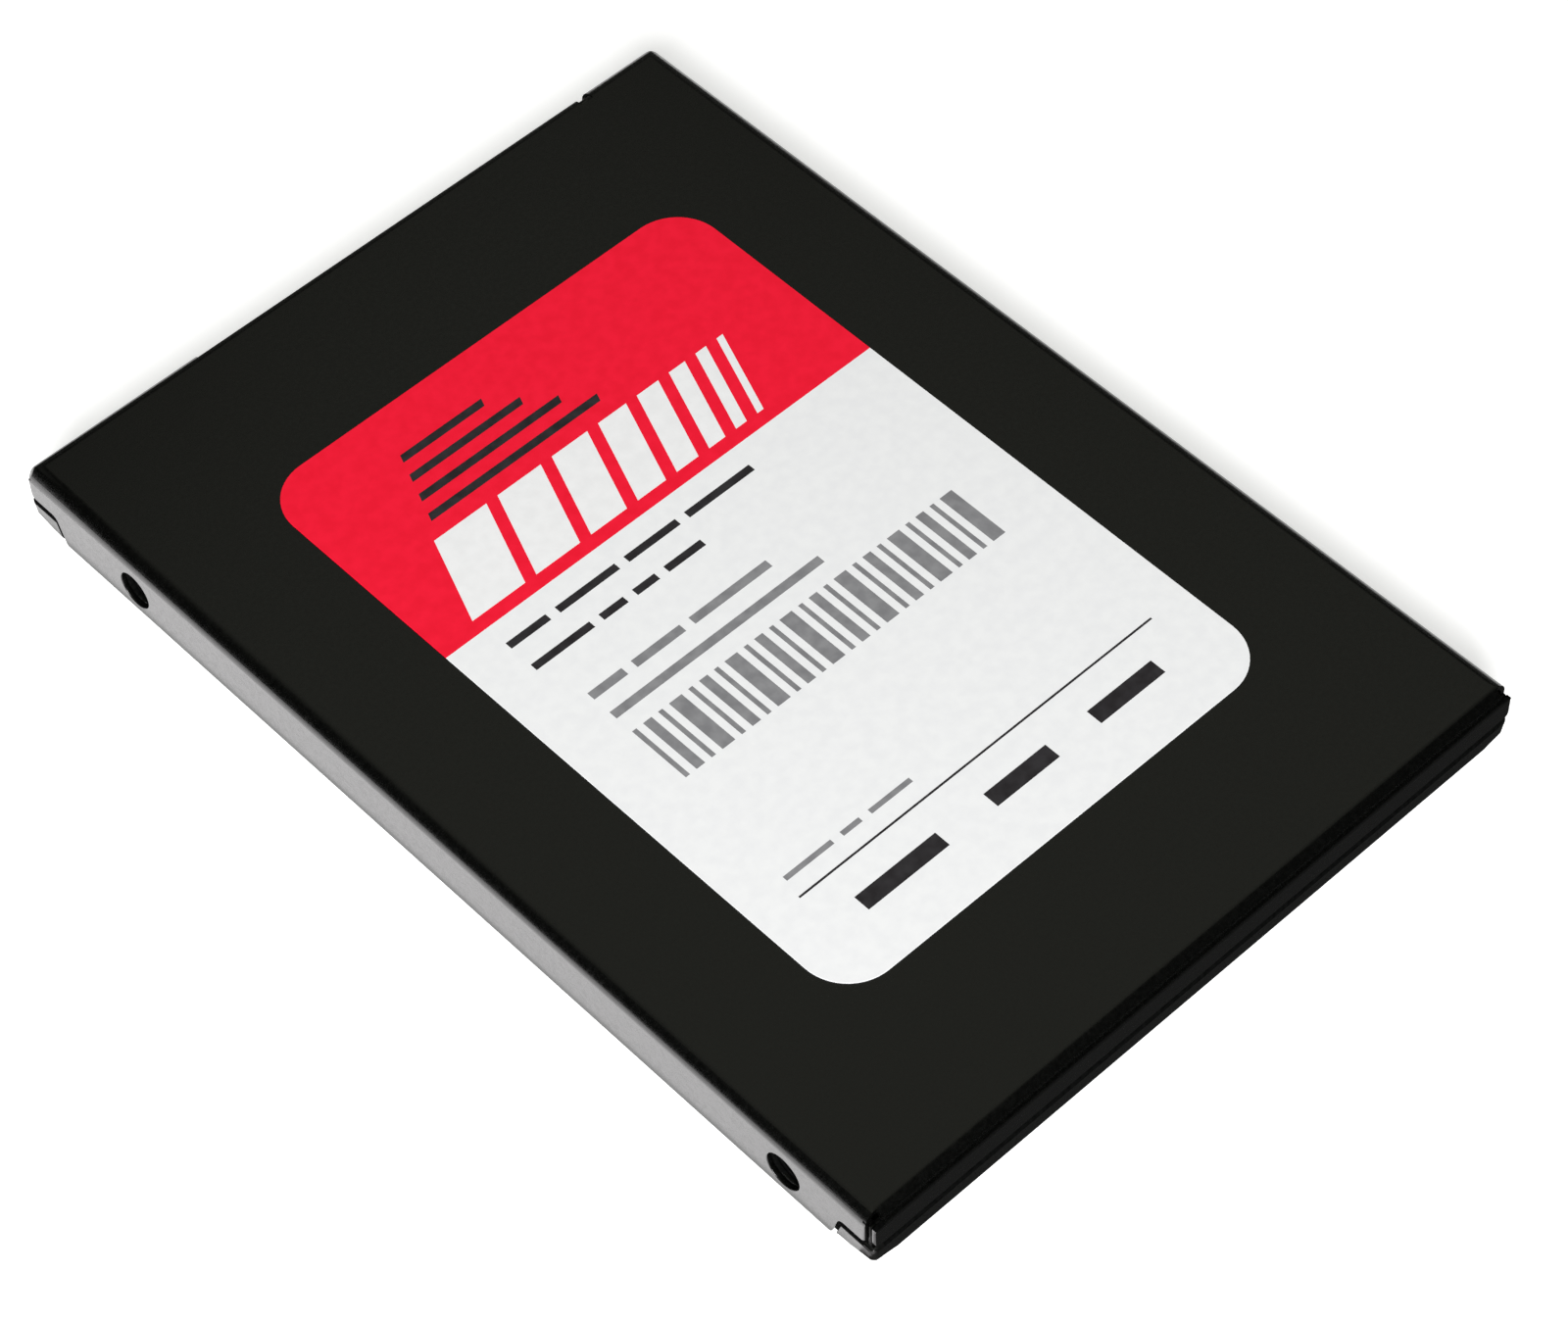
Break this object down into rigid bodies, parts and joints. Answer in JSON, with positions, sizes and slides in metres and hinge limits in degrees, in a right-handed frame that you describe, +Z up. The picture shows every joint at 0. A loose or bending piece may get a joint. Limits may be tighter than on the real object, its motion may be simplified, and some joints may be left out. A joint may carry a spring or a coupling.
{
  "type": "solid_state_drive",
  "caption": "Flat internal storage drive in a folded black sheet case with a rounded top label, side and bottom mounting holes and an edge plug at one end.",
  "frame": {"origin": "middle of the underside of the case", "axes": "+X to the right of the label as it is read, +Y towards the drive plug, +Z up out of the label"},
  "size_m": [0.0698, 0.1002, 0.007],
  "materials": {
    "cover_paint": "fine matt powder coat, black",
    "tray_paint": "matt black coat",
    "label_film": "satin printed film, red above and white below",
    "nut_steel": "black oxide on turned steel",
    "post_steel": "plain turned steel",
    "screw_black": "black zinc, satin",
    "screw_nickel": "nickel plated",
    "post_brass": "plain turned brass",
    "film_amber": "clear amber insulating film",
    "board_green": "satin solder mask over glass laminate",
    "plug_black": "moulded, fine matt",
    "contact_gold": "gold flash",
    "tab_tin": "tin plated",
    "chip_black": "moulded epoxy, matt",
    "pad_grey": "soft filled silicone",
    "ferrite_grey": "pressed ferrite",
    "bulk_tan": "moulded tantalum body",
    "crystal_can": "plated can",
    "ceramic_tan": "fired ceramic with tinned ends",
    "resistor_black": "glazed chip with tinned ends"
  },
  "bodies": {
    "base": {"base_tray": "tray_paint", "mounting_nuts": "nut_steel", "case_screws": "screw_black", "board_posts": "post_brass", "board_screws": "screw_nickel", "insulating_sheet": "film_amber", "main_board": "board_green", "plug_housing": "plug_black", "power_contacts": "contact_gold", "signal_contacts": "contact_gold", "plug_tabs": "tab_tin", "controller_chip": "chip_black", "thermal_pad": "pad_grey", "cache_chip": "chip_black", "boot_chip": "chip_black", "memory_chip_1": "chip_black", "memory_chip_2": "chip_black", "memory_chip_3": "chip_black", "memory_chip_4": "chip_black", "memory_chip_5": "chip_black", "memory_chip_6": "chip_black", "memory_chip_7": "chip_black", "memory_chip_8": "chip_black", "inductors": "ferrite_grey", "regulator_chips": "chip_black", "bulk_capacitors": "bulk_tan", "clock_crystal": "crystal_can", "ceramic_capacitors": "ceramic_tan", "chip_resistors": "resistor_black"},
    "cover": {"top_cover": "cover_paint", "top_label": "label_film", "cover_posts": "post_steel"}
  },
  "joints": [
    {"name": "cover_lift", "type": "slide", "parent": "base", "child": "cover", "axis": [0, 0, 1], "range_m": [0, 0.03]}
  ]
}
